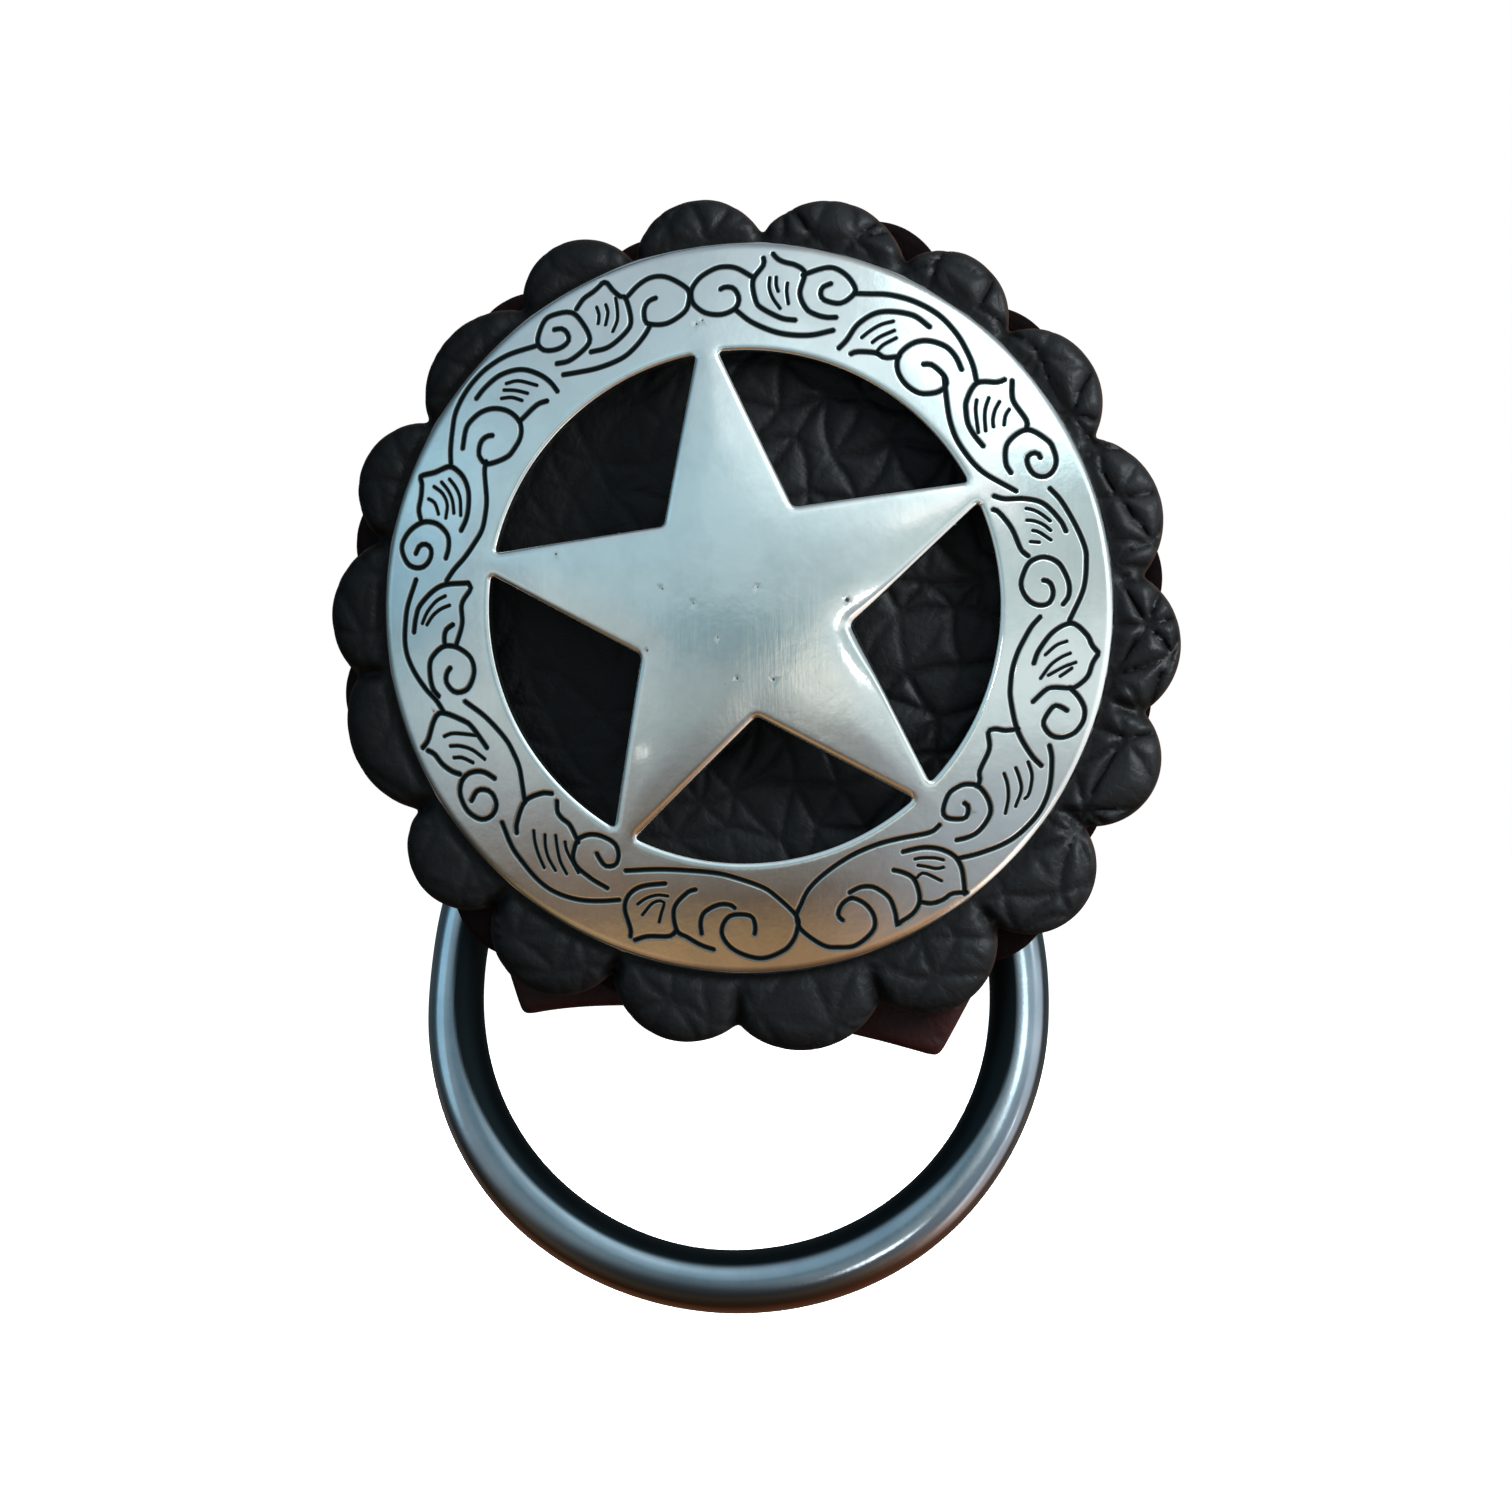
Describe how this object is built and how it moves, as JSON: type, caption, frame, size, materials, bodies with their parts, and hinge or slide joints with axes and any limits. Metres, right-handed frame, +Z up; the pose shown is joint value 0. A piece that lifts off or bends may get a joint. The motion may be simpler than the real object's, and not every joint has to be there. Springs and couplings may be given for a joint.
{
  "type": "star concho with hanging ring",
  "caption": "Domed metal concho with a pierced star and engraved scroll band, pinned through a scalloped leather rosette and tab, with a ring hanging free from a leather loop behind.",
  "frame": {"origin": "on the post's axis, in the plane where the post's shoulder seats against what it is pinned to", "axes": "+Z up as worn, the ring hangs towards -Z; +Y runs out of the back, the star faces -Y; +X is to the right of someone looking at the star"},
  "size_m": [0.0892, 0.0316, 0.1179],
  "materials": {
    "antique_silver": "satin antique silver plate on a zinc casting, dark patina in the engraving",
    "black_leather": "pebbled black leather, matte with a soft sheen",
    "maroon_leather": "smooth dark maroon-brown leather, matte",
    "dark_nickel": "polished dark nickel plate",
    "plain_steel": "plain turned steel"
  },
  "bodies": {
    "root": {"concho": "antique_silver", "rosette_front": "black_leather", "rosette_back": "maroon_leather", "backing_tab": "maroon_leather", "ring_strap": "black_leather", "post": "plain_steel"},
    "ring": {"ring": "dark_nickel"}
  },
  "joints": [
    {"name": "ring_swing", "type": "hinge", "parent": "root", "child": "ring", "pos_m": [-0.00064, -0.00594, -0.01061], "axis": [0.9982, 0, -0.0602], "range_deg": [-8, 182]}
  ]
}
